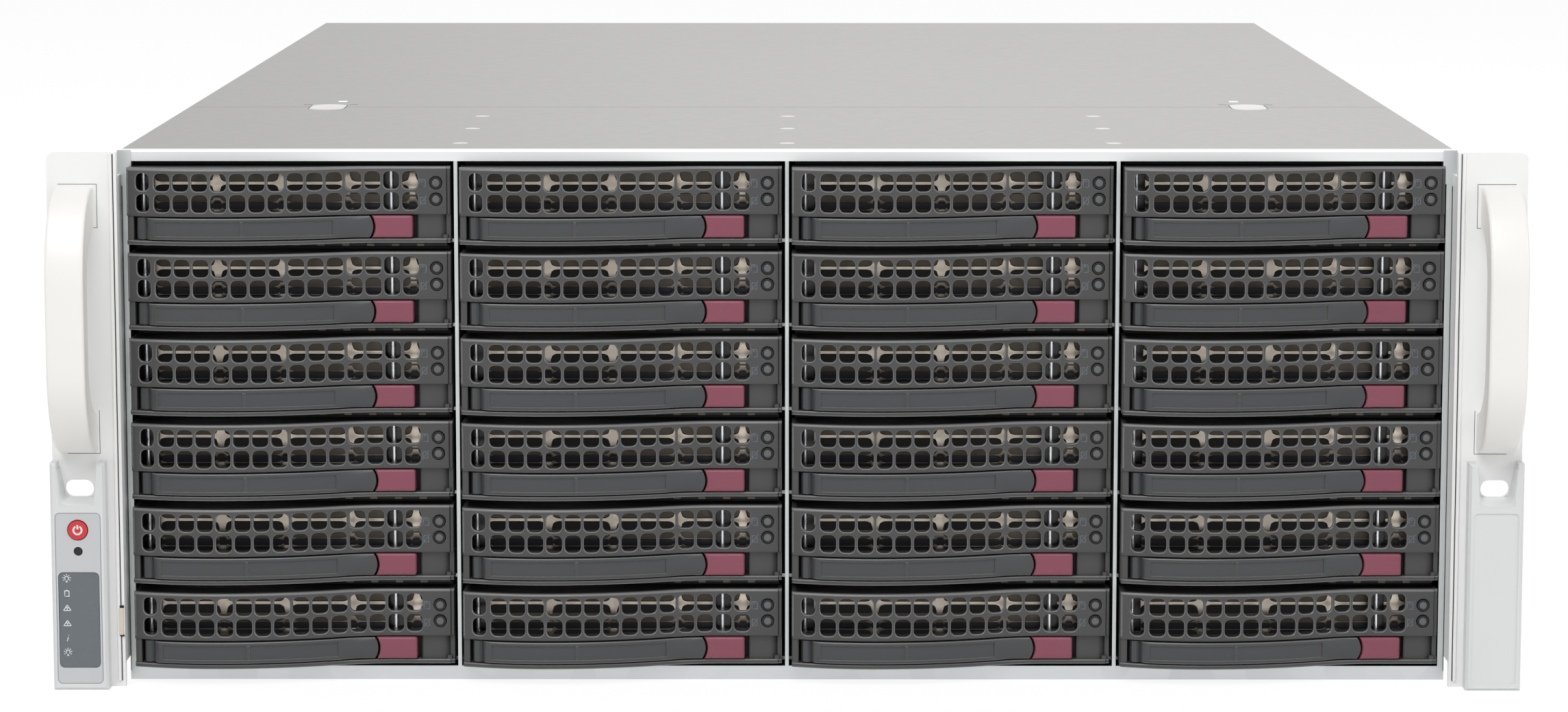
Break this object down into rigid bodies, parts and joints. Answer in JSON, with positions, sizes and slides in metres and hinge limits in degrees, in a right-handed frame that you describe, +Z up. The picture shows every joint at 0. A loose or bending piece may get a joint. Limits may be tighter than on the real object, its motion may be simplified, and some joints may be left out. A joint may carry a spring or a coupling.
{
  "type": "disk shelf enclosure",
  "caption": "Rack-mount disk shelf enclosure: hot-swap trays with curved bezels and pull levers, rack ears with handles, a control panel, fans and power supplies.",
  "frame": {"origin": "middle of the underside of the sheet metal body", "axes": "+Z up, +Y from the disk bays towards the rear panel, +X to the right seen from the front"},
  "size_m": [0.4826, 0.7186, 0.177],
  "materials": {
    "galvanised_steel": "zinc coated sheet, fine grain",
    "bright_steel": "bright plated sheet and wire",
    "white_painted_metal": "satin white paint",
    "cream_painted_metal": "satin warm white paint",
    "white_plastic": "satin moulded",
    "slate_plastic": "glossy smoked window",
    "circuit_board": "solder mask",
    "black_plastic": "moulded",
    "bezel_plastic": "satin moulded",
    "lever_plastic": "semi gloss moulded",
    "burgundy_plastic": "glossy moulded",
    "red_plastic": "glossy moulded",
    "clear_plastic": "clear light pipe",
    "disk_aluminium": "cast and sheet aluminium",
    "power_supply_metal": "plated sheet case, mostly air inside"
  },
  "bodies": {
    "chassis": {"chassis_base": "galvanised_steel", "front_top_panel": "galvanised_steel", "bay_dividers": "galvanised_steel", "drive_backplane": "circuit_board", "drive_connectors": "black_plastic", "fan_wall": "galvanised_steel", "fan_housings": "black_plastic", "rear_panel": "galvanised_steel", "rear_fan_guards": "bright_steel", "slot_covers": "galvanised_steel", "host_port_bracket": "bright_steel", "psu_cage": "galvanised_steel", "power_board": "circuit_board", "left_ear_bracket": "white_painted_metal", "right_ear_bracket": "white_painted_metal", "control_panel_housing": "white_plastic", "right_ear_housing": "white_plastic", "ear_handles": "cream_painted_metal", "status_window": "slate_plastic", "control_board": "circuit_board", "chassis_screws": "bright_steel"},
    "top_cover": {"top_cover": "galvanised_steel"},
    "cover_buttons": {"cover_buttons": "bright_steel"},
    "power_button": {"power_button": "red_plastic"},
    "reset_button": {"reset_button": "black_plastic"},
    "fan_mid_left": {"fan_rotor_mid_left": "black_plastic"},
    "fan_mid_centre": {"fan_rotor_mid_centre": "black_plastic"},
    "fan_mid_right": {"fan_rotor_mid_right": "black_plastic"},
    "fan_rear_left": {"fan_rotor_rear_left": "black_plastic"},
    "fan_rear_right": {"fan_rotor_rear_right": "black_plastic"},
    "psu_1": {"psu_1": "power_supply_metal"},
    "psu_latch_1": {"psu_latch_1": "burgundy_plastic"},
    "psu_2": {"psu_2": "power_supply_metal"},
    "psu_latch_2": {"psu_latch_2": "burgundy_plastic"},
    "tray": {"tray_bezel": "bezel_plastic", "tray_frame": "bright_steel", "tray_drive": "disk_aluminium", "tray_light_pipes": "clear_plastic"},
    "tray_lever": {"tray_lever": "lever_plastic"},
    "tray_button": {"tray_button": "burgundy_plastic"},
    "column_1_trays": {"column_1_bezels": "bezel_plastic", "column_1_frames": "bright_steel", "column_1_drives": "disk_aluminium"},
    "column_1_levers": {"column_1_levers": "lever_plastic"},
    "column_1_buttons": {"column_1_buttons": "burgundy_plastic"},
    "column_2_trays": {"column_2_bezels": "bezel_plastic", "column_2_frames": "bright_steel", "column_2_drives": "disk_aluminium"},
    "column_2_levers": {"column_2_levers": "lever_plastic"},
    "column_2_buttons": {"column_2_buttons": "burgundy_plastic"},
    "column_3_trays": {"column_3_bezels": "bezel_plastic", "column_3_frames": "bright_steel", "column_3_drives": "disk_aluminium"},
    "column_3_levers": {"column_3_levers": "lever_plastic"},
    "column_3_buttons": {"column_3_buttons": "burgundy_plastic"},
    "column_4_trays": {"column_4_bezels": "bezel_plastic", "column_4_frames": "bright_steel", "column_4_drives": "disk_aluminium"},
    "column_4_levers": {"column_4_levers": "lever_plastic"},
    "column_4_buttons": {"column_4_buttons": "burgundy_plastic"}
  },
  "joints": [
    {"name": "cover_lift", "type": "slide", "parent": "chassis", "child": "top_cover", "axis": [0, 0, 1], "range_m": [0, 0.15]},
    {"name": "cover_buttons_press", "type": "slide", "parent": "chassis", "child": "cover_buttons", "axis": [0, 0, -1], "range_m": [0, 0.002], "stiffness_N_per_m": 400, "springref_m": -0.002},
    {"name": "power_button_press", "type": "slide", "parent": "chassis", "child": "power_button", "axis": [0, 1, 0], "range_m": [0, 0.0008], "stiffness_N_per_m": 500, "springref_m": -0.0008},
    {"name": "reset_button_press", "type": "slide", "parent": "chassis", "child": "reset_button", "axis": [0, 1, 0], "range_m": [0, 0.0008], "stiffness_N_per_m": 500, "springref_m": -0.0008},
    {"name": "fan_mid_left_spin", "type": "hinge", "parent": "chassis", "child": "fan_mid_left", "pos_m": [-0.126, -0.1233, 0.08885], "axis": [0, 1, 0], "continuous": true},
    {"name": "fan_mid_centre_spin", "type": "hinge", "parent": "chassis", "child": "fan_mid_centre", "pos_m": [0, -0.1233, 0.08885], "axis": [0, 1, 0], "continuous": true},
    {"name": "fan_mid_right_spin", "type": "hinge", "parent": "chassis", "child": "fan_mid_right", "pos_m": [0.126, -0.1233, 0.08885], "axis": [0, 1, 0], "continuous": true},
    {"name": "fan_rear_left_spin", "type": "hinge", "parent": "chassis", "child": "fan_rear_left", "pos_m": [-0.008, 0.3163, 0.115], "axis": [0, 1, 0], "continuous": true},
    {"name": "fan_rear_right_spin", "type": "hinge", "parent": "chassis", "child": "fan_rear_right", "pos_m": [0.078, 0.3163, 0.115], "axis": [0, 1, 0], "continuous": true},
    {"name": "psu_1_slide", "type": "slide", "parent": "chassis", "child": "psu_1", "axis": [0, 1, 0], "range_m": [0, 0.3]},
    {"name": "psu_latch_1_press", "type": "slide", "parent": "psu_1", "child": "psu_latch_1", "axis": [-1, 0, 0], "range_m": [0, 0.003], "stiffness_N_per_m": 500, "springref_m": -0.003},
    {"name": "psu_2_slide", "type": "slide", "parent": "chassis", "child": "psu_2", "axis": [0, 1, 0], "range_m": [0, 0.3]},
    {"name": "psu_latch_2_press", "type": "slide", "parent": "psu_2", "child": "psu_latch_2", "axis": [-1, 0, 0], "range_m": [0, 0.003], "stiffness_N_per_m": 500, "springref_m": -0.003},
    {"name": "tray_slide", "type": "slide", "parent": "chassis", "child": "tray", "axis": [0, -1, 0], "range_m": [0, 0.18]},
    {"name": "tray_lever_swing", "type": "hinge", "parent": "tray", "child": "tray_lever", "pos_m": [-0.2108, -0.33585, 0.07598], "axis": [0, 0, -1], "range_deg": [0, 60]},
    {"name": "tray_button_press", "type": "slide", "parent": "tray", "child": "tray_button", "axis": [1, 0, 0], "range_m": [0, 0.001], "stiffness_N_per_m": 500, "springref_m": -0.001},
    {"name": "column_1_trays_slide", "type": "slide", "parent": "chassis", "child": "column_1_trays", "axis": [0, -1, 0], "range_m": [0, 0.18]},
    {"name": "column_1_levers_swing", "type": "hinge", "parent": "column_1_trays", "child": "column_1_levers", "pos_m": [-0.2108, -0.33585, 0.07598], "axis": [0, 0, -1], "range_deg": [0, 60]},
    {"name": "column_1_buttons_press", "type": "slide", "parent": "column_1_trays", "child": "column_1_buttons", "axis": [1, 0, 0], "range_m": [0, 0.001], "stiffness_N_per_m": 500, "springref_m": -0.001},
    {"name": "column_2_trays_slide", "type": "slide", "parent": "chassis", "child": "column_2_trays", "axis": [0, -1, 0], "range_m": [0, 0.18]},
    {"name": "column_2_levers_swing", "type": "hinge", "parent": "column_2_trays", "child": "column_2_levers", "pos_m": [-0.102, -0.33585, 0.07598], "axis": [0, 0, -1], "range_deg": [0, 60]},
    {"name": "column_2_buttons_press", "type": "slide", "parent": "column_2_trays", "child": "column_2_buttons", "axis": [1, 0, 0], "range_m": [0, 0.001], "stiffness_N_per_m": 500, "springref_m": -0.001},
    {"name": "column_3_trays_slide", "type": "slide", "parent": "chassis", "child": "column_3_trays", "axis": [0, -1, 0], "range_m": [0, 0.18]},
    {"name": "column_3_levers_swing", "type": "hinge", "parent": "column_3_trays", "child": "column_3_levers", "pos_m": [0.0068, -0.33585, 0.07598], "axis": [0, 0, -1], "range_deg": [0, 60]},
    {"name": "column_3_buttons_press", "type": "slide", "parent": "column_3_trays", "child": "column_3_buttons", "axis": [1, 0, 0], "range_m": [0, 0.001], "stiffness_N_per_m": 500, "springref_m": -0.001},
    {"name": "column_4_trays_slide", "type": "slide", "parent": "chassis", "child": "column_4_trays", "axis": [0, -1, 0], "range_m": [0, 0.18]},
    {"name": "column_4_levers_swing", "type": "hinge", "parent": "column_4_trays", "child": "column_4_levers", "pos_m": [0.1156, -0.33585, 0.07598], "axis": [0, 0, -1], "range_deg": [0, 60]},
    {"name": "column_4_buttons_press", "type": "slide", "parent": "column_4_trays", "child": "column_4_buttons", "axis": [1, 0, 0], "range_m": [0, 0.001], "stiffness_N_per_m": 500, "springref_m": -0.001}
  ]
}
